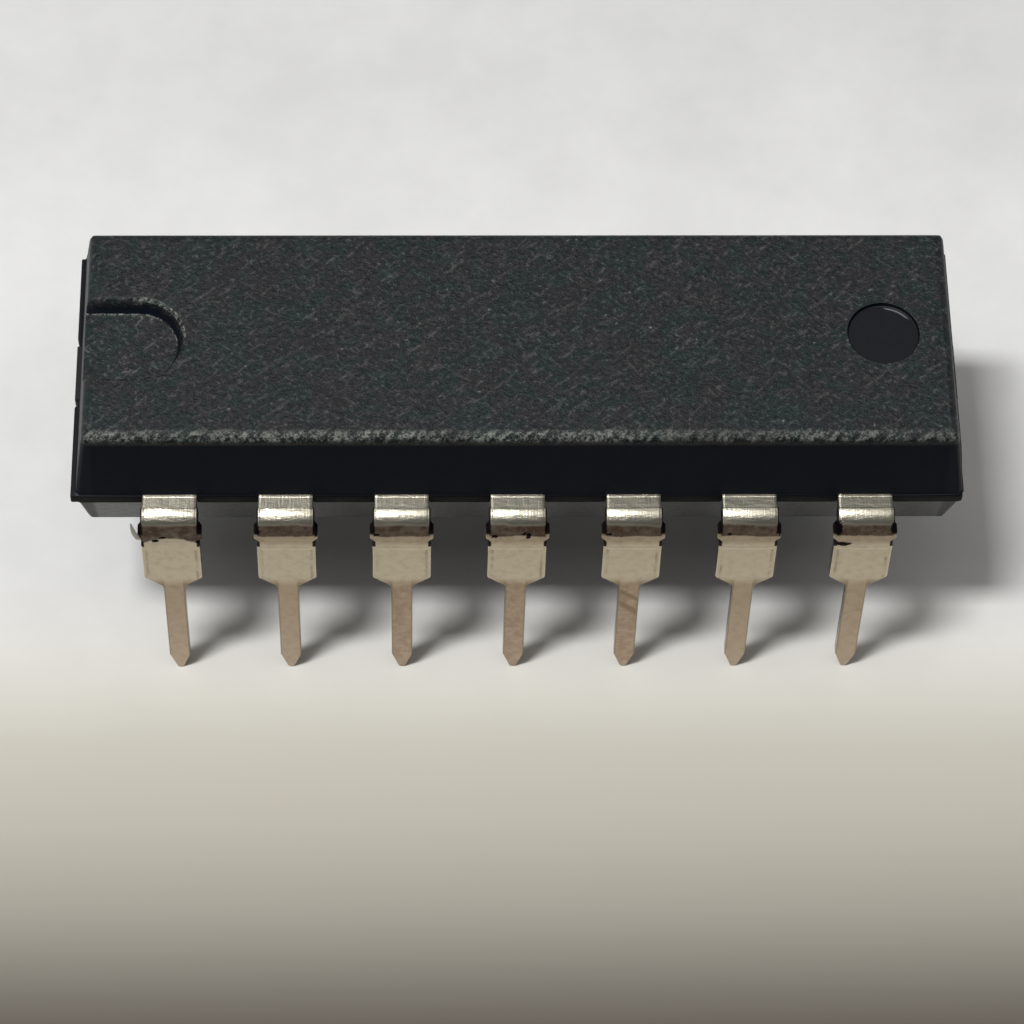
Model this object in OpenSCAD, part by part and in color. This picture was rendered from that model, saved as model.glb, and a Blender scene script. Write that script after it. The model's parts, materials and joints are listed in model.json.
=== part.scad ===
// Fourteen-pin dual in-line integrated circuit in a moulded plastic package.
// It stands on the tips of its leads, with the origin on that surface below the middle of the
// package. X runs along the package away from the notch, Y runs towards pins 8 to 14, Z is up.
// All lengths are in millimetres and all angles in degrees.

/* [Package] */
// Length of the package at the parting line
body_len = 19.44; // [19.0:0.02:19.9]
// Width of the package at the parting line
body_wid = 6.38; // [6.2:0.02:6.6]
// Height from the middle of the lead frame up to the top face
upper_h = 1.72; // [1.5:0.02:1.9]
// Height from the middle of the lead frame down to the underside
lower_h = 1.66; // [1.5:0.02:1.8]
// Draft of the long sides
side_draft = 18; // [12:1:20]
// Draft of the ends of the upper half
upper_end_draft = 7.5; // [4:0.5:12]
// Draft of the ends of the lower half
lower_end_draft = 5.5; // [4:0.5:14]
// Rounding where the sides meet the top face
edge_r = 0.28; // [0.12:0.01:0.32]
// Rounding where the sides meet the underside
under_edge_r = 0.1; // [0.06:0.01:0.2]
// Width of the flat along each corner edge
corner_flat = 0.12; // [0.06:0.01:0.2]
// Shift of the package along X from the middle of the lead frame
mould_shift = 0.04; // [-0.08:0.01:0.08]

/* [Index notch] */
// Reach of the notch from the end of the package
notch_reach = 2.39; // [2.1:0.01:2.8]
// Width of the notch at the top face
notch_wid = 2.12; // [1.8:0.02:2.3]
// Depth of the notch
notch_depth = 0.42; // [0.3:0.02:0.6]
// Draft of the wall of the notch
notch_draft = 24; // [10:1:30]
// Sideways shift of the notch from the middle of the package
notch_shift = -0.12; // [-0.2:0.02:0.2]
// Rounding of the rim of the notch
notch_rim_r = 0.1; // [0.04:0.01:0.14]

/* [Ejector marks] */
// Diameter of the mark in the top face
mark_d = 1.56; // [1.2:0.02:1.8]
// Distance of the top mark from the end of the package
mark_inset = 1.7; // [1.4:0.02:2.4]
// Diameter of the two marks in the underside
under_mark_d = 1.5; // [1.2:0.02:1.8]
// Distance of the underside marks from the ends of the package
under_mark_inset = 2.4; // [1.6:0.02:3.2]
// Depth of all ejector marks
mark_depth = 0.1; // [0.04:0.01:0.16]

/* [Flash at the parting line] */
// Reach of the flash past the notch end of the package
flash_notch_end = 0.11; // [0.1:0.01:0.2]
// Part of the notch end, at its rear corner, that has no flash
flash_rear_gap = 0.1; // [0.05:0.01:0.5]
// Reach of the flash past the other end
flash_far_end = 0.07; // [0.02:0.01:0.2]
// Length along the other end over which the flash runs out towards the front corner
flash_run_out = 1.3; // [0.4:0.1:2]
// Reach of the flash between the leads
flash_side = 0.03; // [0.01:0.01:0.1]
// Depth of the nicks beside the cut tie bar
nick_depth = 0.08; // [0.04:0.01:0.09]
// Width of the mouth of each nick
nick_wid = 0.2; // [0.1:0.01:0.3]

/* [Leads outside the package] */
// Thickness of the lead frame
frame_t = 0.25; // [0.2:0.01:0.3]
// Distance between neighbouring leads
lead_pitch = 2.54; // [2.5:0.01:2.58]
// Length of the flat shoulder from the package to the bend
shoulder_len = 0.31; // [0.25:0.01:0.45]
// Radius on the inside of the bend
bend_r = 0.18; // [0.12:0.01:0.3]
// Outward lean of the legs
splay = 3.4; // [0:0.1:6]
// Height of the middle of the lead frame above the tips
stand_h = 5.72; // [5.4:0.02:6]
// Width of the shoulder
shoulder_wid = 1.2; // [1.1:0.01:1.24]
// Width of the bend, where the metal spreads a little
bend_wid = 1.26; // [1.25:0.01:1.3]
// Width over the cut dam-bar ears
ear_wid = 1.4; // [1.34:0.01:1.5]
// Distance from the middle of the lead frame down to the full width of the ears
ear_top = 0.27; // [0.23:0.01:0.32]
// Length of the ears at their full width
ear_len = 0.22; // [0.15:0.01:0.3]
// Height of the nick below the ears
ear_nick_len = 0.22; // [0.1:0.01:0.26]
// Width of the blade
blade_wid = 1.29; // [1.25:0.01:1.33]
// Distance from the middle of the lead frame down to the lower corners of the blade
blade_low = 2.03; // [1.9:0.01:2.2]
// Height of the taper from the blade to the pin
taper_len = 0.35; // [0.2:0.01:0.5]
// Rounding in the corner between the taper and the pin
neck_r = 0.28; // [0.1:0.01:0.34]
// Width of the pin
pin_wid = 0.47; // [0.4:0.01:0.56]
// Length of the pointed tip
point_len = 0.52; // [0.3:0.01:0.7]
// Width of the blunt end of the tip
point_wid = 0.14; // [0.06:0.01:0.2]

/* [Lead frame inside the package] */
// Length of the full-width root of each lead inside the package
root_len = 0.62; // [0.5:0.01:0.7]
// Diameter of the hole in each root that the moulding fills
anchor_d = 0.4; // [0.3:0.01:0.5]
// Width of the inner fingers
finger_wid = 0.5; // [0.4:0.01:0.54]
// Size of the slanted turn in the longer fingers
finger_turn = 0.8; // [0.5:0.05:1]
// Gap between neighbouring pieces of the lead frame
frame_gap = 0.2; // [0.16:0.01:0.24]
// Length of the die paddle
paddle_len = 3.8; // [3.4:0.02:4.2]
// Width of the die paddle
paddle_wid = 2.5; // [2.3:0.02:2.6]
// Drop of the die paddle below the leads
downset = 0.25; // [0.1:0.01:0.35]
// Width of the tie bars
tie_wid = 0.4; // [0.3:0.01:0.5]
// Width of the tie bars where they leave the package
tie_end_wid = 1.4; // [1.2:0.02:1.6]
// Length of the wide end of the tie bars
tie_end_len = 0.6; // [0.4:0.02:0.9]

/* [Die and bond wires] */
// Length of the silicon die
die_len = 1.7; // [1.5:0.02:2]
// Width of the silicon die
die_wid = 1.4; // [1.3:0.02:1.7]
// Thickness of the silicon die
die_h = 0.33; // [0.25:0.01:0.4]
// Thickness of the die attach
attach_t = 0.025; // [0.02:0.005:0.05]
// Reach of the die attach past the die
attach_margin = 0.08; // [0.04:0.01:0.15]
// Distance between neighbouring bond pads
pad_pitch = 0.3; // [0.25:0.01:0.34]
// Distance from the edge of the die in to the bond pads
pad_inset = 0.12; // [0.08:0.01:0.2]
// Diameter of the bond wires
wire_d = 0.033; // [0.025:0.001:0.038]
// Diameter of the ball bond on the die
ball_d = 0.09; // [0.06:0.005:0.12]
// Height of the ball bond
ball_h = 0.03; // [0.02:0.005:0.04]
// Rise of the wire loops above the die
loop_h = 0.24; // [0.18:0.01:0.35]
// Radius of the turn at the top of the wire loops
loop_r = 0.08; // [0.04:0.01:0.12]
// Distance from the end of a finger to its bond
bond_inset = 0.18; // [0.12:0.01:0.3]

/* [Hidden] */
pins_per_row = 7;
pin_count = 2 * pins_per_row;
middle_place = (pins_per_row + 1) / 2;
// A lead's rank counts from the middle of its row, and the outermost leads have the last one
last_rank = (pins_per_row - 1) / 2;
first_two_digits = 10;
// Length by which a cutting shape runs past the surface that it cuts
past = 0.2;
arc_ease = 0.0005;
// Slope of the upper side of the ears and of the end of the bend
ear_rise = 1.3;
// Part by which the turn of a wire is thicker than its straight parts, so that they run into it
turn_ease = 0.04;
wire_lap = 0.006;
wire_facets = 24;

bend_centre_out = body_wid / 2 + shoulder_len;
tip_reach = bend_centre_out + (bend_r + frame_t) / cos(splay) + stand_h * tan(splay) + past;
root_out = body_wid / 2 - root_len;
jog_rise = 0.35;
paddle_top = frame_t / 2 - downset;
die_top = paddle_top + attach_t + die_h;
notch_floor_r = notch_wid / 2 - notch_depth * tan(notch_draft);
notch_end = body_len / 2 + flash_notch_end - mould_shift;
far_end = body_len / 2 + flash_far_end + mould_shift;

body_colour = [0.17, 0.18, 0.18];
lead_colour = [0.72, 0.7, 0.64];
paddle_colour = [0.62, 0.52, 0.42];
attach_colour = [0.75, 0.75, 0.73];
die_colour = [0.38, 0.4, 0.46];
wire_colour = [0.95, 0.77, 0.3];

// Pins 1 to 7 run along the front from the notch, and pins 8 to 14 run back along the rear.
function two_digits(pin) = str(pin < first_two_digits ? "0" : "", pin);
function lead_name(pin) = str("lead_", two_digits(pin));
function wire_name(pin) = str("bond_wire_", two_digits(pin));
function on_rear(pin) = pin > pins_per_row;
function place(pin) = (on_rear(pin) ? pin - pins_per_row : pin) - middle_place;
function lead_x(pin) = place(pin) * lead_pitch;

// A point at a distance and an angle
function polar(r, angle) = r * [cos(angle), sin(angle)];

// What a rounding takes off a corner: all between two directions that lies outside a circle.
// The circle is drawn a little large, so that its arc crosses the sides of the corner.
module rounding(centre, r, from, to) {
    translate(centre)
        difference() {
            polygon([[0, 0], polar(3 * r, from), polar(5 * r, (from + to) / 2), polar(3 * r, to)]);
            circle(r + arc_ease);
        }
}

// One side of a closed outline and its mirror image
function both_sides(side) = concat(side, [for (i = [len(side) - 1 : -1 : 0]) [-side[i][0], side[i][1]]]);

// A path of even width with mitred corners, as an outline
function left_of(v) = [-v[1], v[0]] / norm(v);
function mitre(a, b) = (a + b) / (1 + a * b);
function step_left(path, i) = left_of(path[i + 1] - path[i]);
function path_left(path, i) =
    i == 0 ? step_left(path, 0) :
    i == len(path) - 1 ? step_left(path, i - 1) :
    mitre(step_left(path, i - 1), step_left(path, i));
function ribbon(path, wid) = concat(
    [for (i = [0 : len(path) - 1]) path[i] + path_left(path, i) * wid / 2],
    [for (i = [len(path) - 1 : -1 : 0]) path[i] - path_left(path, i) * wid / 2]
);

// Lifts what is drawn about the middle of the lead frame to its height above the tips
module at_frame_height() translate([0, 0, stand_h]) children();

// Turns the front row's shapes round to make the rear row's
module in_row(pin) rotate([0, 0, on_rear(pin) ? 180 : 0]) children();

// Drafted section of the package with rounded edges at the top face and the underside
function drafted(half, height, draft) = half - (height - frame_t / 2) * tan(draft);
function edge_centre(half, height, draft, r) =
    [drafted(half, height - r, draft) - r / cos(draft), height - r];
function flipped(p) = [p[0], -p[1]];

module section(half, upper_draft, lower_draft) {
    difference() {
        polygon(both_sides([
            [drafted(half, lower_h, lower_draft), -lower_h],
            [half, -frame_t / 2],
            [half, frame_t / 2],
            [drafted(half, upper_h, upper_draft), upper_h]
        ]));
        for (side = [0, 1])
            mirror([side, 0]) {
                rounding(edge_centre(half, upper_h, upper_draft, edge_r), edge_r, upper_draft, 90);
                rounding(
                    flipped(edge_centre(half, lower_h, lower_draft, under_edge_r)),
                    under_edge_r,
                    -90,
                    -lower_draft
                );
            }
    }
}

module package_block() {
    intersection() {
        rotate([90, 0, 90])
            linear_extrude(body_len + past, center = true)
                section(body_wid / 2, side_draft, side_draft);
        rotate([90, 0, 0])
            linear_extrude(body_wid + past, center = true)
                section(body_len / 2, upper_end_draft, lower_end_draft);
    }
}

// Cuts the flat along one corner edge. up is 1 for the upper half and -1 for the lower half.
module corner_cut(right, rear, up, end_draft) {
    normal = [right * cos(end_draft), rear * cos(side_draft), up * (sin(end_draft) + sin(side_draft))];
    lean = asin(normal[2] / norm(normal));
    size = 2 * (upper_h + lower_h);
    translate([right * body_len / 2, rear * body_wid / 2, up * frame_t / 2])
        rotate([0, -lean, atan2(normal[1], normal[0])])
            translate([-corner_flat / 2, -size / 2, -size / 2])
                cube(size);
}

module corner_cuts() {
    for (right = [-1, 1], rear = [-1, 1]) {
        corner_cut(right, rear, 1, upper_end_draft);
        corner_cut(right, rear, -1, lower_end_draft);
    }
}

// Flash of the lead frame's thickness round the parting line, nicked beside the tie bar
module flash() {
    half_len = body_len / 2;
    half_wid = body_wid / 2;
    side = half_wid + flash_side;
    linear_extrude(frame_t, center = true)
        difference() {
            polygon([
                [-half_len, side],
                [-half_len, half_wid - flash_rear_gap],
                [-half_len - flash_notch_end, half_wid - flash_rear_gap],
                [-half_len - flash_notch_end, -side],
                [half_len, -side],
                [half_len + flash_far_end, flash_run_out - side],
                [half_len + flash_far_end, side]
            ]);
            for (rear = [-1, 1])
                translate([-half_len - flash_notch_end, rear * (tie_end_wid + nick_wid) / 2])
                    polygon([
                        [-past, -nick_wid / 2],
                        [0, -nick_wid / 2],
                        [nick_depth, 0],
                        [0, nick_wid / 2],
                        [-past, nick_wid / 2]
                    ]);
        }
}

// Half section of what the index notch takes away, from the middle of its floor: it has a
// drafted wall and a rounded rim
module notch_half() {
    cut_h = notch_depth + past;
    rim_h = notch_depth - notch_rim_r;
    rim_out = notch_floor_r + rim_h * tan(notch_draft) + notch_rim_r / cos(notch_draft);
    polygon([[0, 0], [notch_floor_r, 0], [notch_floor_r + cut_h * tan(notch_draft), cut_h], [0, cut_h]]);
    intersection() {
        rounding([rim_out, rim_h], notch_rim_r, 90, 180 - notch_draft);
        square([2 * notch_wid, cut_h]);
    }
}

// U-shaped index notch with a full-round end
module notch() {
    translate([notch_reach - notch_wid / 2 - body_len / 2, notch_shift, upper_h - notch_depth]) {
        rotate([0, 0, -90])
            rotate_extrude(angle = 180)
                notch_half();
        for (side = [0, 1])
            mirror([0, side, 0])
                rotate([90, 0, -90])
                    linear_extrude(notch_reach)
                        notch_half();
    }
}

module ejector_marks() {
    translate([body_len / 2 - mark_inset, 0, upper_h - mark_depth])
        cylinder(d = mark_d, h = mark_depth + past);
    for (right = [-1, 1])
        translate([right * (body_len / 2 - under_mark_inset), 0, -lower_h - past])
            cylinder(d = under_mark_d, h = mark_depth + past);
}

// Routes of the inner fingers from the roots to the die paddle, for the front row
function run_y(rank) =
    (tie_wid + finger_wid) / 2 + frame_gap + (last_rank - rank) * (finger_wid + frame_gap);
function side_tip_x() = paddle_len / 2 + frame_gap;
function front_tip_y() = paddle_wid / 2 + frame_gap;
function jog_tip_x() = (paddle_len - finger_wid) / 2 - frame_gap;
function finger_route(pin) =
    let (x = lead_x(pin), side = sign(x), rank = abs(place(pin)), start = [x, -root_out - finger_wid / 2])
    rank == 0 ? [start, [0, -front_tip_y()]] :
    rank == 1 ? [
        start,
        [x, -run_y(1) - jog_rise],
        [side * jog_tip_x(), -run_y(1)],
        [side * jog_tip_x(), -front_tip_y()]
    ] :
    [
        start,
        [x, -run_y(rank) - finger_turn],
        [x - side * finger_turn, -run_y(rank)],
        [side * side_tip_x(), -run_y(rank)]
    ];

// The flat part of a lead, held by the moulding: shoulder, root with its anchor hole, and finger
module lead_flat(pin) {
    difference() {
        union() {
            translate([lead_x(pin) - shoulder_wid / 2, -bend_centre_out, -frame_t / 2])
                cube([shoulder_wid, bend_centre_out - root_out, frame_t]);
            translate([0, 0, -frame_t / 2])
                linear_extrude(frame_t)
                    polygon(ribbon(finger_route(pin), finger_wid));
        }
        translate([lead_x(pin), -root_out - root_len / 2, -frame_t])
            cylinder(d = anchor_d, h = 2 * frame_t);
    }
}

// Side view of what lies within a surface of a lead: under its flat part and inside its leg.
// The surface turns down round the centre of the bend at a distance of r, starting from x = from.
function on_leg(r, y) = [r / cos(splay) - y * tan(splay), y];
module within_surface(r, from) {
    difference() {
        polygon([[from, r], on_leg(r, r), on_leg(r, -stand_h), [from, -stand_h]]);
        rounding([0, 0], r, splay, 90);
    }
}

// Side view of a lead: bend and splayed leg
module lead_side_view() {
    translate([bend_centre_out, -frame_t / 2 - bend_r])
        difference() {
            within_surface(bend_r + frame_t, 0);
            within_surface(bend_r, -past);
        }
}

// Material punched away to the right of the pin, below the blade
module beside_pin() {
    taper_dir = atan2((blade_wid - pin_wid) / 2, taper_len);
    neck = [pin_wid / 2, -blade_low - taper_len];
    centre = neck + neck_r * [1, -tan((90 - taper_dir) / 2)];
    difference() {
        polygon([
            [blade_wid / 2, -blade_low],
            neck,
            [pin_wid / 2, point_len - stand_h],
            [point_wid / 2, -stand_h],
            [point_wid / 2, -stand_h - past],
            [ear_wid, -stand_h - past],
            [ear_wid, -blade_low]
        ]);
        rounding(centre, neck_r, 180 - taper_dir, 180);
    }
}

// Front view of a lead: bend, dam-bar ears, blade, taper, pin and pointed tip
module lead_front_view() {
    ear_low = ear_top + ear_len;
    half_ear = ear_wid / 2;
    half_shoulder = shoulder_wid / 2;
    half_bend = bend_wid / 2;
    ear_start = ear_top - ear_rise * (half_ear - half_shoulder);
    difference() {
        polygon(both_sides([
            [half_bend, frame_t],
            [half_bend, ear_rise * (half_bend - half_shoulder) - ear_start],
            [half_shoulder, -ear_start],
            [half_ear, -ear_top],
            [half_ear, -ear_low],
            [half_shoulder, -ear_low - ear_nick_len / 2],
            [blade_wid / 2, -ear_low - ear_nick_len],
            [blade_wid / 2, -stand_h]
        ]));
        beside_pin();
        mirror([1, 0]) beside_pin();
    }
}

module lead_formed(pin) {
    translate([lead_x(pin), 0, 0])
        intersection() {
            rotate([90, 0, -90])
                linear_extrude(2 * ear_wid, center = true)
                    lead_side_view();
            rotate([90, 0, 0])
                linear_extrude(tip_reach)
                    lead_front_view();
        }
}

// Side view of a tie bar: it steps up from the paddle to the level of the leads
module tie_bar(end_x) {
    step_in = paddle_len / 2 + frame_gap;
    step_out = step_in + downset;
    turn = frame_t * tan(22.5);
    rotate([90, 0, 0])
        linear_extrude(tie_wid, center = true)
            polygon([
                [0, paddle_top],
                [step_in, paddle_top],
                [step_out, frame_t / 2],
                [end_x, frame_t / 2],
                [end_x, -frame_t / 2],
                [step_out + turn, -frame_t / 2],
                [step_in + turn, paddle_top - frame_t],
                [0, paddle_top - frame_t]
            ]);
    translate([end_x - tie_end_len, -tie_end_wid / 2, -frame_t / 2])
        cube([tie_end_len, tie_end_wid, frame_t]);
}

module paddle_shape() {
    translate([-paddle_len / 2, -paddle_wid / 2, paddle_top - frame_t])
        cube([paddle_len, paddle_wid, frame_t]);
    tie_bar(far_end);
    rotate([0, 0, 180]) tie_bar(notch_end);
}

module attach_shape() {
    length = die_len + 2 * attach_margin;
    width = die_wid + 2 * attach_margin;
    translate([-length / 2, -width / 2, paddle_top])
        cube([length, width, attach_t]);
}

module die_shape() {
    translate([-die_len / 2, -die_wid / 2, paddle_top + attach_t])
        cube([die_len, die_wid, die_h]);
}

// Bond pads on the die and landing points on the fingers, for the front row
function pad_point(pin) =
    let (side = sign(place(pin)), rank = abs(place(pin)))
    rank < 2 ? [side * 1.5 * pad_pitch, pad_inset - die_wid / 2] :
    [side * (die_len / 2 - pad_inset), -(3.5 - rank) * pad_pitch];
function landing_point(pin) =
    let (route = finger_route(pin), last = len(route) - 1)
    route[last] + bond_inset * (route[last - 1] - route[last]) / norm(route[last - 1] - route[last]);

// One bond wire: ball, neck, turn and straight run down to the finger, where it is cut flush.
// It is drawn running along X from the ball, with the top of the die at height 0.
module wire_loop(span) {
    drop = die_top - frame_t / 2;
    neck_h = loop_h - loop_r;
    across = span - loop_r;
    down = neck_h + drop;
    far = norm([across, down]);
    // To a tenth of a degree: the cut at the finger takes up the rest
    fall = round(10 * (90 + atan2(down, across) - acos(loop_r / far))) / 10;
    cylinder(d = ball_d, h = ball_h, $fn = wire_facets);
    cylinder(d = wire_d, h = neck_h + wire_lap, $fn = wire_facets);
    translate([loop_r, 0, neck_h])
        rotate([90, 0, 0])
            rotate([0, 0, 90 - fall])
                rotate_extrude(angle = 90 + fall, $fn = wire_facets)
                    translate([loop_r, 0])
                        circle(d = wire_d * (1 + turn_ease), $fn = wire_facets);
    difference() {
        translate([loop_r, 0, neck_h])
            rotate([0, fall, 0])
                translate([-wire_lap, 0, loop_r])
                    rotate([0, 90, 0])
                        cylinder(d = wire_d, h = wire_lap + far + past, $fn = wire_facets);
        translate([0, -span, -drop - span])
            cube([2 * span, 2 * span, span]);
    }
}

module wire_shape(pin) {
    pad = pad_point(pin);
    reach = landing_point(pin) - pad;
    translate([pad[0], pad[1], die_top])
        rotate([0, 0, atan2(reach[1], reach[0])])
            wire_loop(norm(reach));
}

// The package's outer shape, from its own middle
module package_shape() {
    difference() {
        union() {
            difference() {
                package_block();
                corner_cuts();
            }
            flash();
        }
        notch();
        ejector_marks();
    }
}

module moulded_body() {
    color(body_colour)
        at_frame_height()
            difference() {
                translate([mould_shift, 0, 0]) package_shape();
                paddle_shape();
                attach_shape();
                die_shape();
                for (pin = [1 : pin_count]) {
                    in_row(pin) lead_flat(pin);
                    in_row(pin) wire_shape(pin);
                }
            }
}

module die_paddle() {
    color(paddle_colour)
        at_frame_height()
            paddle_shape();
}

module die_attach() {
    color(attach_colour)
        at_frame_height()
            attach_shape();
}

module silicon_die() {
    color(die_colour)
        at_frame_height()
            die_shape();
}

module lead(pin) {
    color(lead_colour)
        at_frame_height()
            in_row(pin) {
                lead_flat(pin);
                lead_formed(pin);
            }
}

module bond_wire(pin) {
    color(wire_colour)
        at_frame_height()
            in_row(pin) wire_shape(pin);
}

moulded_body();
die_paddle();
die_attach();
silicon_die();
for (pin = [1 : pin_count]) {
    lead(pin);
    bond_wire(pin);
}
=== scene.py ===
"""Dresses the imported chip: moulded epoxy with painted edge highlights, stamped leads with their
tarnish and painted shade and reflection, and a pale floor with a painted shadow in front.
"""
import json
import math

import bpy
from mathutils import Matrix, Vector

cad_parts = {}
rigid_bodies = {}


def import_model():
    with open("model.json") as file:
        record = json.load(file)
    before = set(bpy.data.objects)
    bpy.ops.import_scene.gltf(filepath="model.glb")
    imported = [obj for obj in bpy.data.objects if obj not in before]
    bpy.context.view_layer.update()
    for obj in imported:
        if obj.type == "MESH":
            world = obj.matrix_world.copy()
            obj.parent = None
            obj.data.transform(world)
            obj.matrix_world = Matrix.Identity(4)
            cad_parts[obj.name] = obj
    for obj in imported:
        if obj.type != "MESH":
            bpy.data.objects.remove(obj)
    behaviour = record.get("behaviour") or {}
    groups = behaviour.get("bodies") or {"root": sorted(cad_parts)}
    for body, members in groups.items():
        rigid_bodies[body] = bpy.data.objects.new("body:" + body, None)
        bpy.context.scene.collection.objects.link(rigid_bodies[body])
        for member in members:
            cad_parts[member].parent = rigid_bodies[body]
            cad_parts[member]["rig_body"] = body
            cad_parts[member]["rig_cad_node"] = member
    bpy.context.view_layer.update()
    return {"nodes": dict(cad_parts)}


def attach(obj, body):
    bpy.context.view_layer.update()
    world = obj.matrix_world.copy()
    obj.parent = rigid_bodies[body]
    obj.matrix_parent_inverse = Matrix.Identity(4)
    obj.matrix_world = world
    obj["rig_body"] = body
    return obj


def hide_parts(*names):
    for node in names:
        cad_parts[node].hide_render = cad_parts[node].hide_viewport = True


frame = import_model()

bl_info = {
    "name": "Dual in-line chip",
    "version": (1, 0, 0),
    "blender": (4, 5, 0),
    "location": "3D View > Sidebar > Chip",
    "description": "Finishes for a fourteen-pin chip in a moulded package, and a studio round it",
    "category": "Object",
}

MM = 0.001
NODES = frame["nodes"]
LEADS = sorted(name for name in NODES if name.startswith("lead_"))
WIRES = sorted(name for name in NODES if name.startswith("bond_wire_"))

# Heights and distances on the chip, in millimetres from the middle of the surface it stands on
PITCH = 2.54
TOP = 7.44
FRAME_MIDDLE = 5.72
PACKAGE_MIDDLE = 0.04

# How a copied solid is joined up: points this close are one, and faces this flat are one
WELD_MM = 0.0004
FLAT_DEG = 0.4
SMOOTH_DEG = 32

# The package, from its own middle: half its length and width at the parting line, half the
# thickness of the lead frame, and how far in the top face's rounded edges reach
HALF_LEN = 9.72
HALF_WID = 3.19
HALF_SHEET = 0.125
TOP_EDGE = 0.28

# Centre and radius of the round mark in the top face, and the square of its foot's radius
MARK_X = 8.02
MARK_R = 0.78
MARK_FOOT_SQUARED = 0.5

# The index notch: its depth, middle, half its width, its end, and how far its wall leans in
NOTCH_DEPTH = 0.42
NOTCH_Y = -0.12
NOTCH_HALF = 1.06
NOTCH_END = -7.2
NOTCH_WALL = 0.14

# Spans over which a finish fades in, and then out again. On the package: the height near the top
# face, the two end faces and the height that they reach, the front edge, where wear and a painted
# highlight lie, and the notch's rim with its painted highlight, along the package and in height.
NEAR_TOP = (TOP - 0.2, TOP - 0.15)
END_FACE = (9.3, 9.4)
END_FACE_TOP = (TOP - 0.25, TOP - 0.2)
FRONT_EDGE = ((-2.8, -2.68), (-2.6, -2.46))
RIM_ALONG = ((-8.9, -8.2), (-7.1, -7.0))
RIM_HEIGHT = ((TOP - 0.11, TOP - 0.08), (TOP - 0.012, TOP - 0.004))

# On a lead, up from the lead frame's middle: the light brown below the bend, the blade, and the
# dark upper part of the ears. Then the place across it where the ears begin.
LIGHT_BROWN = ((-0.78, -0.56), (-0.3, -0.2))
BLADE = ((-2.16, -2.06), (-0.92, -0.86))
DARK_EARS = ((-0.36, -0.28), (0.12, 0.2))
EAR_START = (0.57, 0.61)

# Heights on a lead of the nick below the ears and of the ledge at the blade's top, the place of
# the line coined into the blade's rim, and the two scratches across the fifth pin, each with its
# height, half its width and its fade
NICK_HEIGHT = -0.7
LEDGE_HEIGHT = -0.875
COINED_LINE = 0.545
SCRATCHES = ((-3.25, 0.05, 0.12), (-2.75, 0.03, 0.1))

# How high the V at a pin's end reaches, at its lower edge, and the rounding of its corners
TIP_REACH = 0.03
TIP_ROUNDING = 0.05

# Black spots on the front leads, residue, and painted shadow in the upper corners of the ears:
# pin, place across it and up from the lead frame's middle, and half its width and height
RESIDUE_AND_SHADOW_SPOTS = (
    (1, -0.33, -0.56, 0.08, 0.06),
    (1, 0.63, -0.6, 0.06, 0.07),
    (1, -0.17, -0.44, 0.07, 0.04),
    (1, -0.69, -0.38, 0.045, 0.42),
    (1, 0.66, -0.02, 0.04, 0.14),
    (2, -0.62, -0.18, 0.05, 0.14),
    (2, 0.66, -0.28, 0.04, 0.12),
    (3, -0.55, -0.33, 0.06, 0.05),
    (3, 0.62, -0.16, 0.03, 0.16),
    (4, -0.5, -0.41, 0.07, 0.07),
    (4, 0.24, -0.37, 0.05, 0.1),
    (4, 0.14, -0.3, 0.06, 0.03),
    (5, -0.53, -0.32, 0.05, 0.06),
    (5, 0.64, -0.2, 0.04, 0.12),
    (6, -0.43, -0.3, 0.05, 0.05),
    (6, 0.66, -0.3, 0.03, 0.12),
    (7, -0.6, -0.16, 0.09, 0.2),
    (7, -0.46, -0.7, 0.19, 0.07),
    (7, 0.63, -0.12, 0.08, 0.14),
)

# The burr beside the first lead's left ear: the points that it runs through from its root up, its
# width and thickness at the root, and how much narrower each next section is
BURR_PATH = (
    (-8.31, -3.95, 5.24),
    (-8.345, -3.96, 5.36),
    (-8.375, -3.97, 5.5),
    (-8.4, -3.98, 5.64),
    (-8.42, -3.98, 5.8),
    (-8.44, -3.97, 5.95),
)
BURR_WID = 0.12
BURR_THICK = 0.03
BURR_TAPER = (1.05, 1.0, 0.85, 0.7, 0.35)

# Painted shadow: the floor's tone falls off towards the front. Millimetres of y, and share of the
# full tone.
# The ramp that holds it covers FALL_REACH millimetres in front of the chip's middle.
FALL = (
    (-17.0, 0.0), (-15.0, 0.02), (-13.3, 0.07), (-12.4, 0.16), (-10.4, 0.4),
    (-8.4, 0.58), (-6.3, 0.71), (-5.0, 0.86), (-3.6, 0.98), (-2.0, 1.0),
)
FALL_REACH = 20

# The lamps: name, place and size in metres, and colour. The panel is aimed at AIM, and the others
# shine straight down.
LAMPS = (
    ("key", (-0.094, -0.048, 0.3), (0.08, 0.032), (1.0, 1.0, 1.0)),
    ("panel", (0.0, 0.22, 0.36), (0.5, 0.2), (1.0, 1.0, 1.0)),
    ("ceiling", (0.0, -0.05, 0.36), (0.6, 0.2), (1.0, 0.975, 0.925)),
)
AIM = Vector((0.0, 0.0, 0.004))
WORLD_STRENGTH = 0.1

# The camera, fitted to the edges of the package and the leads in the photograph
CAMERA_MM = (-2.435, -48.379, 80.249)
CAMERA_DEG = (31.029, -0.525, -0.399)
CAMERA_LENS = 139.814
CAMERA_SHIFT = 0.0586


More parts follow.
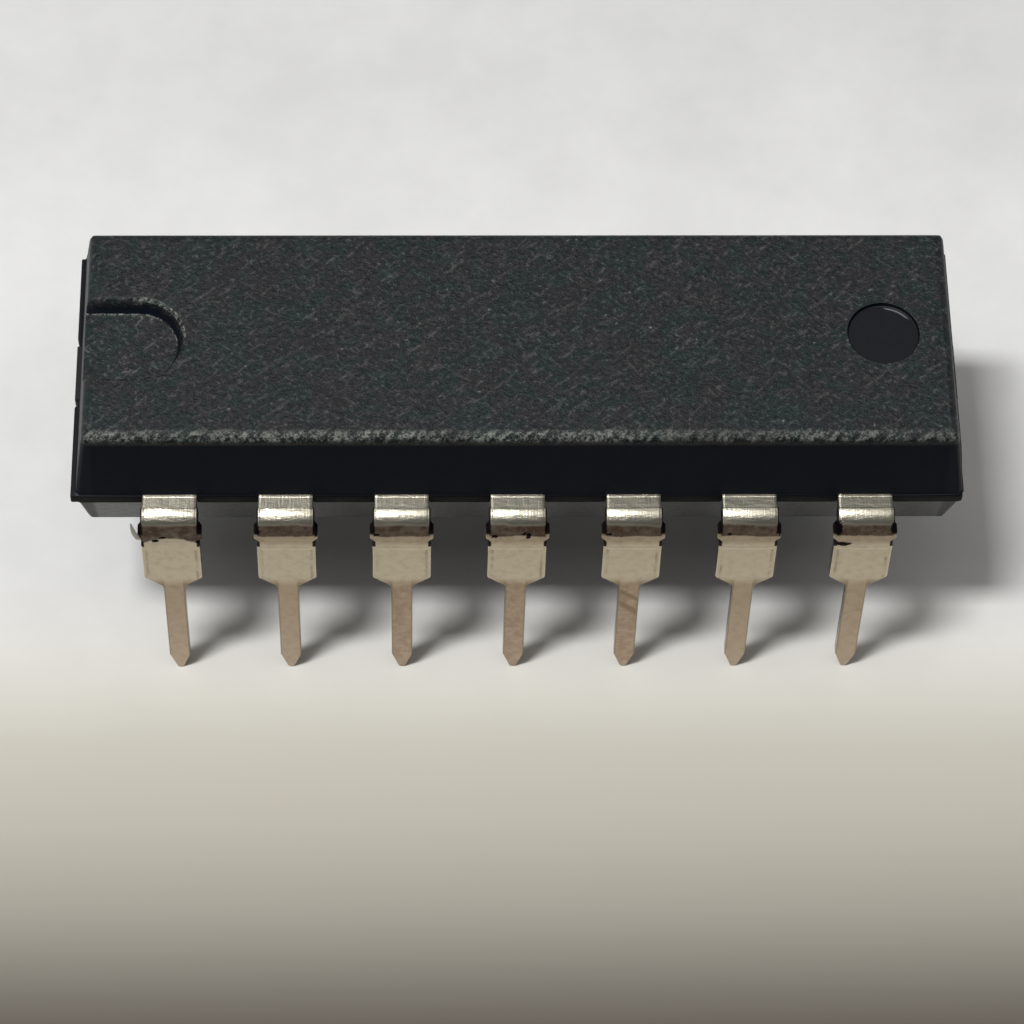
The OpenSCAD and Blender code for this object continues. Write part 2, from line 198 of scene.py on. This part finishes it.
class Signal:
    """A number that varies over a surface. Arithmetic on it adds Math nodes to its finish."""

    def __init__(self, finish, socket):
        self.finish = finish
        self.socket = socket

    def _math(self, operation, *values):
        return self.finish.add("ShaderNodeMath", {"operation": operation}, dict(enumerate(values)))

    def __add__(self, other):
        return self._math("ADD", self, other)

    def __sub__(self, other):
        return self._math("SUBTRACT", self, other)

    def __rsub__(self, other):
        return self._math("SUBTRACT", other, self)

    def __mul__(self, other):
        return self._math("MULTIPLY", self, other)

    def __truediv__(self, other):
        return self._math("DIVIDE", self, other)

    def __abs__(self):
        return self._math("ABSOLUTE", self)

    __radd__ = __add__
    __rmul__ = __mul__

    def above(self, start, end):
        """0 below start, 1 above end, and a smooth rise between them."""
        return self.finish.add(
            "ShaderNodeMapRange",
            {"interpolation_type": "SMOOTHSTEP"},
            {"Value": self, "From Min": start, "From Max": end},
        )

    def below(self, start, end):
        return 1 - self.above(start, end)

    def within(self, rise, fall):
        """0 before the first span of values, 1 between the two, and 0 again after the second."""
        return self.above(*rise) * self.below(*fall)

    def at_least(self, other):
        return self._math("MAXIMUM", self, other)

    def rounded(self):
        return self._math("ROUND", self, 0)

    def near(self, centre, reach, fade):
        """1 less than reach away from a centre, falling to 0 over the fade."""
        return abs(self - centre).below(reach, reach + fade)

    def squared(self):
        return self * self


class Finish:
    """A material, built up from nodes."""

    def __init__(self, name):
        self.material = bpy.data.materials.new(name)
        self.material.use_nodes = True
        self.tree = self.material.node_tree
        self.tree.nodes.clear()

    def add(self, kind, settings=None, sockets=None, out=0):
        """Adds a node: first its settings, then the values or links of its sockets."""
        node = self.tree.nodes.new(kind)
        for name, value in (settings or {}).items():
            if name == "stops":
                ramp = node.color_ramp
                while len(ramp.elements) < len(value):
                    ramp.elements.new(1.0)
                for element, (position, colour) in zip(ramp.elements, value):
                    element.position = position
                    element.color = colour
            else:
                setattr(node, name, value)
        for name, value in (sockets or {}).items():
            if isinstance(name, str):
                socket = next(s for s in node.inputs if name in (s.identifier, s.name))
            else:
                socket = node.inputs[name]
            if isinstance(value, Signal):
                self.tree.links.new(value.socket, socket)
            else:
                socket.default_value = value
        return Signal(self, node.outputs[out]) if node.outputs else None

    def place(self):
        """The place on the object, in millimetres."""
        metres = self.add("ShaderNodeTexCoord", out=3)
        return self.add(
            "ShaderNodeVectorMath", {"operation": "SCALE"}, {"Vector": metres, "Scale": 1 / MM})

    def axes(self, place):
        return [self.add("ShaderNodeSeparateXYZ", None, {"Vector": place}, out=i) for i in range(3)]

    def stretched(self, place, turn, lengths_mm):
        """The place turned about the vertical and stretched, for streaks of these lengths."""
        return self.add(
            "ShaderNodeMapping",
            {"vector_type": "TEXTURE"},
            {"Vector": place, "Rotation": (0.0, 0.0, math.radians(turn)), "Scale": lengths_mm},
        )

    def noise(self, place, per_mm, detail=2.0, roughness=0.5, distortion=0.0):
        return self.add(
            "ShaderNodeTexNoise",
            None,
            {"Vector": place, "Scale": per_mm, "Detail": detail, "Roughness": roughness,
             "Distortion": distortion},
        )

    def spot(self, x, z, centre_x, centre_z, half_wid, half_high):
        """1 inside an oval and 0 outside it, with a soft edge."""
        off = ((x - centre_x) / half_wid).squared() + ((z - centre_z) / half_high).squared()
        return off.below(0.6, 1.5)

    def mix(self, amount, first, second):
        """From the first colour to the second."""
        return self.add(
            "ShaderNodeMix",
            {"data_type": "RGBA"},
            {"Factor_Float": amount, "A_Color": first, "B_Color": second},
            out=2,
        )

    def bump(self, height, distance_mm):
        """The surface's direction where a height, times this distance, stands out of it."""
        return self.add(
            "ShaderNodeBump", None,
            {"Height": height, "Distance": distance_mm * MM, "Strength": 1.0})

    def close(self, **sockets):
        """Ends in one Principled shader. Socket names have underscores for spaces."""
        named = {name.replace("_", " "): value for name, value in sockets.items()}
        shader = self.add("ShaderNodeBsdfPrincipled", None, named)
        self.add("ShaderNodeOutputMaterial", None, {"Surface": shader})
        return self.material


def rgb(red, green, blue):
    """A screen colour from 0 to 255 a channel, as Blender's linear colour."""
    def linear(value):
        value /= 255
        return value / 12.92 if value <= 0.04045 else ((value + 0.055) / 1.055) ** 2.4
    return (linear(red), linear(green), linear(blue), 1.0)


def darker(colour, share):
    """A colour with this share of its light."""
    return tuple(channel * share for channel in colour[:3]) + (1.0,)


# The epoxy's pores, scuffs and flecks, the wear and painted highlights on its edges, its smooth
# sides, and its marks
PORE = rgb(11, 17, 18)
SCUFF = rgb(124, 128, 124)
FLECK = rgb(150, 152, 146)
# Painted highlight on the edges, with the wear on the front edge
EDGE_WEAR_AND_HIGHLIGHT = rgb(156, 162, 152)
SMOOTH_SIDE = rgb(9, 15, 25)
SMOOTH_MARK = rgb(8, 10, 17)
# A painted glint
GLINT = rgb(150, 154, 156)

# What lies on the leads' plating, a painted highlight on the ledge at the blade's top, and a black
# that is residue in places and painted shadow in others
LIGHT_TARNISH = rgb(146, 120, 98)
BROWN_LINE = rgb(112, 92, 66)
GREY_FILM = rgb(146, 134, 110)
LEDGE_HIGHLIGHT = rgb(236, 228, 208)
# Black for residue, and for painted shadow in the nicks and by the ears
BLACK_RESIDUE_AND_SHADOW = rgb(32, 25, 27)

# The two tones of the burr's bare metal, resin on cut metal, and the warm tint of the painted
# shadow on the paper in front of the chip
BARE_PALE = rgb(210, 208, 202)
BARE_GREY = rgb(176, 175, 170)
RESIN = rgb(20, 16, 20)
WARM_SHADOW_TINT = rgb(230, 226, 212)

# The pieces inside: their names, and the name, colour, metallic share and roughness of the finish
INSIDE = (
    (["die_paddle"], "frame_copper", rgb(196, 140, 108), 1.0, 0.4),
    (["die_attach"], "silver_adhesive", rgb(170, 168, 160), 0.6, 0.5),
    (["silicon_die"], "polished_silicon", rgb(86, 92, 108), 0.7, 0.15),
    (WIRES, "wire_gold", rgb(236, 196, 96), 1.0, 0.25),
)


def give(names, material):
    for name in names:
        for slot in NODES[name].material_slots:
            slot.material = material


def pick(piece):
    """Makes a piece the only one selected."""
    bpy.ops.object.select_all(action="DESELECT")
    piece.select_set(True)
    bpy.context.view_layer.objects.active = piece


def copy_of(node, label):
    """A copy of a CAD solid with its flat faces made whole again."""
    piece = NODES[node].copy()
    piece.data = NODES[node].data.copy()
    piece.name = label
    piece.animation_data_clear()
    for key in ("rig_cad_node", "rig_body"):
        if key in piece:
            del piece[key]
    piece.parent = None
    bpy.context.collection.objects.link(piece)
    pick(piece)
    bpy.ops.object.mode_set(mode="EDIT")
    bpy.ops.mesh.select_all(action="SELECT")
    bpy.ops.mesh.remove_doubles(threshold=WELD_MM * MM)
    bpy.ops.mesh.dissolve_limited(angle_limit=math.radians(FLAT_DEG))
    bpy.ops.object.mode_set(mode="OBJECT")
    return piece


def round_edges(piece, width_mm, segments, sharper_than, outside):
    """Rounds the sharp edges that lie outside, as stamping or moulding leaves them."""
    pick(piece)
    bpy.ops.object.mode_set(mode="EDIT")
    bpy.ops.mesh.select_mode(type="EDGE")
    bpy.ops.mesh.select_all(action="DESELECT")
    bpy.ops.mesh.edges_select_sharp(sharpness=math.radians(sharper_than))
    bpy.ops.object.mode_set(mode="OBJECT")
    mesh = piece.data
    for edge in mesh.edges:
        if edge.select:
            first, last = (mesh.vertices[i].co for i in edge.vertices)
            edge.select = outside((first + last) / 2 / MM)
    bpy.ops.object.mode_set(mode="EDIT")
    bpy.ops.mesh.bevel(offset=width_mm * MM, segments=segments, clamp_overlap=False)
    bpy.ops.object.mode_set(mode="OBJECT")
    bpy.ops.object.shade_smooth_by_angle(angle=math.radians(SMOOTH_DEG))
    weighted = piece.modifiers.new("flat faces stay flat", "WEIGHTED_NORMAL")
    weighted.keep_sharp = True
    bpy.ops.object.modifier_apply(modifier=weighted.name)


class ChipSettings(bpy.types.PropertyGroup):
    """Sizes and colours of the chip's finish."""

    epoxy_green: bpy.props.FloatVectorProperty(
        name="Epoxy, greenish", description="Greenish tone in the mottled moulding",
        default=rgb(26, 43, 42), subtype="COLOR", size=4, min=0.0, max=1.0)
    epoxy_brown: bpy.props.FloatVectorProperty(
        name="Epoxy, brownish", description="Brownish tone in the mottled moulding",
        default=rgb(41, 38, 42), subtype="COLOR", size=4, min=0.0, max=1.0)
    plating: bpy.props.FloatVectorProperty(
        name="Plating", description="Colour of the clean plating on the leads",
        default=rgb(206, 201, 184), subtype="COLOR", size=4, min=0.0, max=1.0)
    dull: bpy.props.FloatVectorProperty(
        name="Dull plating", description="Colour of the plating on the blades and pins",
        default=rgb(210, 201, 184), subtype="COLOR", size=4, min=0.0, max=1.0)
    # Also the colour of the painted dark reflection below the bends
    tarnish: bpy.props.FloatVectorProperty(
        name="Tarnish", description="Colour of the brown tarnish below the bends",
        default=rgb(84, 64, 50), subtype="COLOR", size=4, min=0.0, max=1.0)
    bloom: bpy.props.FloatVectorProperty(
        name="Pink bloom", description="Colour of the patches on the pins",
        default=rgb(166, 145, 126), subtype="COLOR", size=4, min=0.0, max=1.0)
    roll: bpy.props.FloatProperty(
        name="Rolled edge", description="Rounding of the stamped edges of the leads",
        default=0.03 * MM, min=0.0, max=0.05 * MM, unit="LENGTH")
    moulded_edge: bpy.props.FloatProperty(
        name="Moulded edge", description="Rounding of the package's sharp edges",
        default=0.03 * MM, min=0.0, max=0.05 * MM, unit="LENGTH")
    floor_colour: bpy.props.FloatVectorProperty(
        name="Floor", description="Colour of the floor",
        default=rgb(230, 230, 229), subtype="COLOR", size=4, min=0.0, max=1.0)
    # Colour of the painted shadow over the front of the floor
    floor_shade: bpy.props.FloatVectorProperty(
        name="Floor in front", description="Colour to which the floor falls off in front",
        default=rgb(74, 66, 58), subtype="COLOR", size=4, min=0.0, max=1.0)
    key_power: bpy.props.FloatProperty(
        name="Key light", description="Power of the long light above and to the left",
        default=0.8, min=0.0, unit="POWER")
    panel_power: bpy.props.FloatProperty(
        name="Panel light", description="Power of the wide soft panel behind",
        default=0.1, min=0.0, unit="POWER")
    ceiling_power: bpy.props.FloatProperty(
        name="Ceiling light", description="Power of the long soft panel overhead",
        default=0.35, min=0.0, unit="POWER")


class CHIP_OT_epoxy(bpy.types.Operator):
    """Makes the moulded package, with its softened edges and mottled epoxy"""

    bl_idname = "chip.epoxy"
    bl_label = "Epoxy"

    def epoxy(self, settings):
        finish = Finish("moulded_epoxy")
        place = finish.place()
        frame_x, y, z = finish.axes(place)
        x = frame_x - PACKAGE_MIDDLE
        # The places: the round mark, the notch, the rough skin of the top and the notch's floor,
        # the thin flash at the parting line, and the two end faces
        from_mark = (x - MARK_X).squared() + y.squared()
        mark = from_mark.below(MARK_R ** 2, (MARK_R + 0.02) ** 2) * z.above(*NEAR_TOP)
        notch = x.below(NOTCH_END - 0.05, NOTCH_END) * y.near(NOTCH_Y, NOTCH_HALF, 0.02)
        notch_floor = notch * z.near(TOP - NOTCH_DEPTH, 0.01, 0.02) * y.near(
            NOTCH_Y, NOTCH_HALF - NOTCH_WALL, 0.02)
        skin = (z.above(TOP - TOP_EDGE, TOP - 0.1) * (1 - mark)).at_least(notch_floor)
        sticks_out = abs(y).above(HALF_WID, HALF_WID + 0.01).at_least(
            abs(x).above(HALF_LEN, HALF_LEN + 0.01))
        flash = abs(z - FRAME_MIDDLE).below(HALF_SHEET + 0.01, HALF_SHEET + 0.03) * sticks_out
        end_face = abs(x).above(*END_FACE) * z.below(*END_FACE_TOP)
        # Painted highlights as bright, rough lines: along the front of the top face, where the edge
        # also shows wear, round the back and right of the notch, at the foot of its wall, and in
        # the round mark
        front_edge = y.within(*FRONT_EDGE) * skin
        back_right = (x + y * 0.7).above(-8.5, -7.6) * y.above(-0.3, 0.3)
        notch_rim = z.within(*RIM_HEIGHT) * x.within(*RIM_ALONG) * y.below(1.3, 1.4) * (
            back_right * 0.8 + 0.2)
        notch_foot = notch * z.near(TOP - NOTCH_DEPTH + 0.03, 0.014, 0.008) * y.above(-0.4, 0.2)
        # A painted glint at the foot of the round mark's wall, on its back right side
        mark_foot = from_mark.near(MARK_FOOT_SQUARED, 0.012, 0.03) * z.above(*NEAR_TOP) * (
            (x - MARK_X) * 0.48 + y * 0.88).above(0.64, 0.67)
        # Greenish and brownish patches, diagonal streaks and a fine grain
        patches = finish.noise(place, 1.4, detail=5.0, roughness=0.62, distortion=0.4)
        streaks = finish.noise(
            finish.stretched(place, 40, (0.42, 0.12, 0.3)), 1.0, detail=4.0, roughness=0.62)
        crossing = finish.noise(
            finish.stretched(place, -35, (0.34, 0.1, 0.3)), 1.0, detail=3.0, roughness=0.6)
        grain = finish.noise(place, 9.0, detail=4.0, roughness=0.72)
        pits = finish.noise(place, 24.0, detail=2.0, roughness=0.6)
        flecks = finish.noise(place, 9.0, detail=1.0)
        tone = (patches + (streaks - 0.5) * 0.5 + (grain - 0.5) * 0.5).above(0.42, 0.58)
        mottle = finish.mix(tone, tuple(settings.epoxy_green), tuple(settings.epoxy_brown))
        shade = (grain * 0.6 + streaks * 0.2 + crossing * 0.2).above(0.38, 0.6)
        grained = finish.mix(shade, PORE, mottle)
        scored = streaks.above(0.56, 0.7).at_least(crossing.above(0.6, 0.72))
        paler = scored * pits.above(0.35, 0.6) * (0.26 + notch_floor * 0.2) + grain.above(
            0.56, 0.68) * 0.25
        scuffed = finish.mix(paler, grained, SCUFF)
        specked = finish.mix(flecks.above(0.765, 0.81) * pits.above(0.3, 0.6) * 0.6, scuffed, FLECK)
        # The painted edge highlights over that, then the smooth sides, and the painted glint in the
        # mark
        edge_speckle = (streaks * 0.4 + grain * 0.4 + pits * 0.3).above(0.5, 0.66)
        # The front edge's painted highlight is patchy, and strongest near the middle of the front
        uneven = (finish.noise(place, 0.5, detail=2.0).above(0.35, 0.65) * 0.25
                  + x.near(-2.5, 3.5, 5.0) * 0.2 + 0.2)
        edge = (front_edge * uneven).at_least(notch_rim * 0.75).at_least(notch_foot * 0.7)
        edges_worn_and_lit = finish.mix(edge * edge_speckle, specked, EDGE_WEAR_AND_HIGHLIGHT)
        smooth = finish.mix(flash.at_least(mark), SMOOTH_SIDE, SMOOTH_MARK)
        covered = finish.mix(skin.at_least(notch_rim).at_least(notch_foot), smooth, edges_worn_and_lit)
        height = (grain + pits * 0.5 + streaks * 0.4) * (skin * 0.92 + 0.08)
        rough = (skin * 0.16 + 0.36 + (grain - 0.5) * 0.3 + flash * 0.4 + mark * 0.08
                 + end_face * (1 - flash) * 0.15)
        return finish.close(
            Base_Color=finish.mix(mark_foot * 0.45, covered, GLINT),
            Roughness=rough,
            Specular_IOR_Level=0.34,
            Normal=finish.bump(height, 0.03))

    def execute(self, context):
        settings = context.scene.chip
        material = self.epoxy(settings)
        give(["moulded_body"], material)
        package = copy_of("moulded_body", "moulded_package")

        # The edges that the leads and the wires leave in the moulding stay as they are
        def outside(place):
            rise = place.z - FRAME_MIDDLE
            return abs(rise) > 0.9 or abs(place.y) > HALF_WID - 0.3 or abs(place.x) > HALF_LEN - 0.3

        round_edges(
            package, settings.moulded_edge / MM, segments=2, sharper_than=30, outside=outside)
        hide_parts("moulded_body")
        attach(package, "root")
        return {"FINISHED"}


class CHIP_OT_leads(bpy.types.Operator):
    """Makes the stamped leads, with their rolled edges, dull plating, and tarnish with a painted
    dark reflection below the bends
    """

    bl_idname = "chip.leads"
    bl_label = "Leads"

    def plating(self, settings):
        finish = Finish("dull_plating")
        place = finish.place()
        x, y, z = finish.axes(place)
        # Which lead of its row, counted from the middle one, and the place across that lead
        rank = (x / PITCH).rounded()
        across = x - rank * PITCH
        aside = abs(across)
        drop = z - FRAME_MIDDLE
        front = y.below(-1.0, -0.5)
        first = rank.below(-2.6, -2.4) * front
        middle_pins = abs(rank).below(1.4, 1.6) * front
        pin = drop.below(-2.4, -2.0)
        shoulder = drop.above(-0.12, 0.0)
        wander = finish.noise(place, 2.2, detail=3.0)
        cloud = finish.noise(place, 5.0, detail=4.0, roughness=0.65)
        ragged = finish.noise(place, 16.0, detail=3.0, roughness=0.7)
        # Dark brown from the end of the bend down, with an arched border on the first lead:
        # tarnish, and a painted reflection of the dark surroundings in front
        low = (wander - 0.5) * 0.16 - 0.4 - first * (across.squared() * 0.5 + 0.06)
        high = (wander - 0.5) * 0.12 - 0.07
        on_ear = aside.above(0.6, 0.64) * (1 - first) * drop.below(-0.28, -0.2)
        band = (drop - low + (ragged - 0.5) * 0.08).above(-0.03, 0.03) * (
            drop - high).below(-0.03, 0.06) * (1 - on_ear * 0.8)
        tarnish_and_dark_reflection = band * (0.92 + (cloud - 0.5) * 0.8)
        # Lighter brown below it, and the pinkish bloom on the pins
        brown = drop.within(*LIGHT_BROWN) * (1 - first) * (cloud * 0.8 + 0.4)
        pinkish = pin * (0.72 + middle_pins * 0.18) + pin * (middle_pins + 0.3) * (
            cloud - 0.5) * 0.9
        # The coined line along the rim of the blade, a painted highlight on the ledge at its top,
        # the pin's brown edges and the scratches across the fifth pin
        rim = (aside + (cloud - 0.5) * 0.05).near(COINED_LINE, 0.01, 0.04) * drop.within(
            *BLADE) * wander.above(0.35, 0.65)
        pin_edge = aside.above(0.19, 0.225) * pin * 0.6
        ledge = drop.near(LEDGE_HEIGHT, 0.008, 0.035) * aside.below(0.52, 0.56) * (1 - first)
        slanted = across * 0.9 + drop
        scratched = rank.near(1.0, 0.3, 0.1) * front * pin * sum(
            slanted.near(*scratch) for scratch in SCRATCHES)
        # Black residue in smudges, painted shadow in some spots by the ears and in the nicks, and
        # black over the upper part of the ears
        smudged_x = x + (ragged - 0.5) * 0.16
        smudged_drop = drop + (wander + ragged - 1) * 0.12
        residue_and_shadow_spots = sum(
            finish.spot(
                smudged_x, smudged_drop, (number - 4) * PITCH + middle, up, half_wid, half_high)
            for number, middle, up, half_wid, half_high in RESIDUE_AND_SHADOW_SPOTS)
        # Painted shadow in the nick below each ear
        nick = aside.above(0.565, 0.59) * drop.near(NICK_HEIGHT, 0.08, 0.03)
        ears = aside.above(*EAR_START) * drop.within(*DARK_EARS)
        black = (residue_and_shadow_spots * front).at_least(nick * 0.95).at_least(ears * 0.97)
        # The colours, one over the other
        plain = finish.mix(drop.below(-0.5, -0.1), tuple(settings.plating), tuple(settings.dull))
        browned = finish.mix(brown * 0.58, plain, LIGHT_TARNISH)
        bloomed = finish.mix(pinkish, browned, tuple(settings.bloom))
        lines = (rim * 0.45).at_least(scratched * 0.5).at_least(pin_edge)
        lined = finish.mix(lines, bloomed, BROWN_LINE)
        filmed = finish.mix((cloud - 0.42).above(0.0, 0.3) * 0.24, lined, GREY_FILM)
        # The ledge's painted highlight
        lit = finish.mix(ledge * 0.35, filmed, LEDGE_HIGHLIGHT)
        with_dark_band = finish.mix(tarnish_and_dark_reflection, lit, tuple(settings.tarnish))
        # The mould's clamp leaves a line on the shoulder, and the die rolls its sides over
        clamp = abs(y).above(3.225, 3.25)
        rolled = aside.above(0.53, 0.61) * shoulder
        dents = finish.noise(
            finish.stretched(place, 0, (0.32, 0.1, 0.1)), 1.0, detail=3.0, roughness=0.6)
        brushed = finish.noise(finish.stretched(place, 0, (0.04, 0.4, 0.4)), 1.0, detail=3.0)
        height = (brushed * 0.7 + cloud * 0.4 + dents * (shoulder * 1.3 + 0.3) - rim - clamp * 1.6
                  + ledge * 0.3 - rolled * 1.9 + black * 0.8)
        return finish.close(
            Base_Color=finish.mix(black, with_dark_band, BLACK_RESIDUE_AND_SHADOW),
            Metallic=1 - tarnish_and_dark_reflection * 0.6 * (1 - black),
            Roughness=(0.32 + tarnish_and_dark_reflection * 0.25 + (cloud - 0.5) * 0.2 - drop.below(-0.9, -0.5) * 0.13
                       + black * 0.45),
            Normal=finish.bump(height, 0.007))

    def point_tip(self, piece):
        """Rounds the corners of the V at the pin's end, which the die leaves blunt."""
        pick(piece)
        bpy.ops.object.mode_set(mode="EDIT")
        bpy.ops.mesh.select_mode(type="EDGE")
        bpy.ops.mesh.select_all(action="DESELECT")
        bpy.ops.object.mode_set(mode="OBJECT")
        mesh = piece.data
        for edge in mesh.edges:
            first, last = (mesh.vertices[i].co / MM for i in edge.vertices)
            at_tip = max(first.z, last.z) < TIP_REACH
            edge.select = at_tip and abs(first.y - last.y) > 0.2
        bpy.ops.object.mode_set(mode="EDIT")
        bpy.ops.mesh.bevel(offset=TIP_ROUNDING * MM, segments=3, clamp_overlap=False)
        bpy.ops.object.mode_set(mode="OBJECT")

    def bare_burr(self):
        finish = Finish("bare_burr")
        cloud = finish.noise(finish.place(), 14.0, detail=3.0)
        colour = finish.mix(cloud, BARE_PALE, BARE_GREY)
        return finish.close(Base_Color=colour, Metallic=0.4, Roughness=cloud * 0.2 + 0.35)

    def burr(self, lead):
        """Adds the thin sliver that the die has curled away from the first lead's left ear."""
        bpy.ops.object.select_all(action="DESELECT")
        at = Vector(BURR_PATH[0])
        bpy.ops.mesh.primitive_circle_add(
            vertices=8, radius=BURR_WID / 2 * MM, fill_type="NGON", location=at * MM)
        sliver = bpy.context.object
        bpy.ops.object.transform_apply(location=True)
        bpy.ops.object.mode_set(mode="EDIT")
        bpy.ops.mesh.select_all(action="SELECT")
        bpy.ops.transform.resize(value=(1.0, BURR_THICK / BURR_WID, 1.0), center_override=at * MM)
        for point, width in zip(BURR_PATH[1:], BURR_TAPER):
            step = Vector(point) - at
            bpy.ops.mesh.extrude_region_move(TRANSFORM_OT_translate={"value": step * MM})
            at = Vector(point)
            bpy.ops.transform.resize(value=(width, width, 1.0), center_override=at * MM)
        bpy.ops.mesh.select_all(action="SELECT")
        bpy.ops.mesh.normals_make_consistent(inside=False)
        bpy.ops.object.mode_set(mode="OBJECT")
        bpy.ops.object.shade_smooth_by_angle(angle=math.radians(SMOOTH_DEG * 2))
        sliver.data.materials.append(self.bare_burr())
        lead.select_set(True)
        bpy.context.view_layer.objects.active = lead
        bpy.ops.object.join()

    def execute(self, context):
        settings = context.scene.chip
        material = self.plating(settings)
        give(LEADS, material)
        for name in LEADS:
            piece = copy_of(name, "stamped_" + name)
            self.point_tip(piece)
            round_edges(
                piece, settings.roll / MM, segments=3, sharper_than=40,
                outside=lambda place: abs(place.y) > HALF_WID - 0.05)
            if name == "lead_01":
                self.burr(piece)
            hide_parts(name)
            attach(piece, "root")
        return {"FINISHED"}


class CHIP_OT_inside(bpy.types.Operator):
    """Gives the pieces inside the moulding their metals"""

    bl_idname = "chip.inside"
    bl_label = "Pieces inside"

    def execute(self, context):
        for names, label, colour, metallic, rough in INSIDE:
            finish = Finish(label)
            place = finish.place()
            cloud = finish.noise(place, 12.0, detail=2.0)
            shade = finish.mix(cloud, colour, darker(colour, 0.8))
            # Resin has stained the cut ends of the tie bars, which come out of the package
            stained = abs(finish.axes(place)[0]).above(HALF_LEN - 0.3, HALF_LEN - 0.1)
            give(names, finish.close(
                Base_Color=finish.mix(stained, shade, RESIN),
                Metallic=metallic * (1 - stained),
                Roughness=rough + cloud * 0.1))
        return {"FINISHED"}


class CHIP_OT_stage(bpy.types.Operator):
    """Makes the floor, the lights and the camera"""

    bl_idname = "chip.stage"
    bl_label = "Stage"

    def paper(self, settings):
        finish = Finish("pale_paper")
        place = finish.place()
        y = finish.axes(place)[1]
        tooth = finish.noise(place, 0.9, detail=5.0, roughness=0.62)
        clouds = finish.noise(place, 0.3, detail=4.0, roughness=0.6)
        greyer = tooth * 0.3 + (clouds - 0.5) * 1.2 + y.above(7.0, 13.5) * 0.4 + 0.02
        floor_colour = tuple(settings.floor_colour)
        pale = finish.mix(greyer, floor_colour, darker(floor_colour, 0.8))
        # Painted shadow over the front of the paper: warmer, and darker by the ramp, towards the
        # front
        warm = finish.mix(y.below(-8.0, -1.0), pale, WARM_SHADOW_TINT)
        stops = [((at + FALL_REACH) / FALL_REACH, (share, share, share, 1.0)) for at, share in FALL]
        lit = finish.add(
            "ShaderNodeValToRGB", {"stops": stops}, {"Fac": (y + FALL_REACH) / FALL_REACH})
        return finish.close(
            Base_Color=finish.mix(lit, tuple(settings.floor_shade), warm),
            Roughness=0.65 + tooth * 0.1,
            Specular_IOR_Level=0.3)

    def execute(self, context):
        settings = context.scene.chip
        scene = context.scene
        scene.view_settings.view_transform = "Standard"
        bpy.ops.object.select_all(action="DESELECT")
        bpy.ops.mesh.primitive_plane_add(size=2.0, location=(0.0, 0.0, 0.0))
        floor = context.object
        floor.name = "floor"
        floor.data.materials.append(self.paper(settings))

        world = bpy.data.worlds.new("studio")
        scene.world = world
        world.use_nodes = True
        background = world.node_tree.nodes["Background"]
        background.inputs["Color"].default_value = (1.0, 1.0, 1.0, 1.0)
        background.inputs["Strength"].default_value = WORLD_STRENGTH

        for name, place, size, colour in LAMPS:
            bpy.ops.object.light_add(type="AREA", location=place)
            lamp = context.object
            lamp.name = name
            lamp.data.shape = "RECTANGLE"
            lamp.data.energy = getattr(settings, name + "_power")
            lamp.data.color = colour
            lamp.data.size, lamp.data.size_y = size
            if name == "panel":
                towards = AIM - Vector(place)
                lamp.rotation_euler = towards.to_track_quat("-Z", "Y").to_euler()

        bpy.ops.object.camera_add(
            location=[at * MM for at in CAMERA_MM],
            rotation=[math.radians(turn) for turn in CAMERA_DEG])
        camera = context.object
        camera.name = "camera"
        camera.data.sensor_width = 36.0
        camera.data.lens = CAMERA_LENS
        camera.data.shift_x = CAMERA_SHIFT
        camera.data.clip_start = 0.005
        camera.data.clip_end = 10.0
        scene.camera = camera
        return {"FINISHED"}


class CHIP_PT_panel(bpy.types.Panel):
    """Lists the chip's settings and steps"""

    bl_idname = "CHIP_PT_panel"
    bl_label = "Chip"
    bl_space_type = "VIEW_3D"
    bl_region_type = "UI"
    bl_category = "Chip"

    def draw(self, context):
        for name in ChipSettings.__annotations__:
            self.layout.prop(context.scene.chip, name)
        for step in STEPS:
            self.layout.operator(step.bl_idname)


STEPS = (CHIP_OT_epoxy, CHIP_OT_leads, CHIP_OT_inside, CHIP_OT_stage)


def register():
    for kind in (ChipSettings, *STEPS, CHIP_PT_panel):
        bpy.utils.register_class(kind)
    bpy.types.Scene.chip = bpy.props.PointerProperty(type=ChipSettings)


def unregister():
    del bpy.types.Scene.chip
    for kind in (CHIP_PT_panel, *reversed(STEPS), ChipSettings):
        bpy.utils.unregister_class(kind)


def main():
    register()
    bpy.ops.chip.epoxy()
    bpy.ops.chip.leads()
    bpy.ops.chip.inside()
    bpy.ops.chip.stage()


if __name__ == "__main__":
    main()
